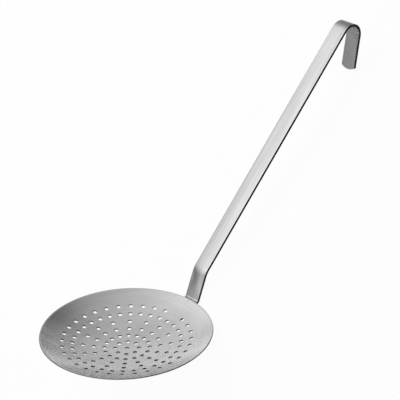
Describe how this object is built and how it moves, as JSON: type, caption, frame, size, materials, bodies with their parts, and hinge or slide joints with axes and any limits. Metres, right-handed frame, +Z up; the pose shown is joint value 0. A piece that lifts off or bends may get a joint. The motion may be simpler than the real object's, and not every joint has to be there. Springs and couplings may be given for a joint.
{
  "type": "skimmer",
  "caption": "Shallow round skimmer: a dished, perforated bowl on a long flat strip handle that bends up from the rim and ends in a hanging hook.",
  "frame": {"origin": "middle of the outer box at table level, with the skimmer lying as it rests, on the outside of its neck bend and on the end of its hook", "axes": "+X from the bowl towards the hook, +Y square to the plane of symmetry, +Z up from the table"},
  "size_m": [0.4338, 0.161, 0.1013],
  "materials": {
    "bowl": "satin, finely brushed in circles",
    "handle": "satin, finely brushed along the strip"
  },
  "bodies": {
    "root": {"perforated_bowl": "bowl", "hook_handle": "handle"}
  },
  "joints": []
}
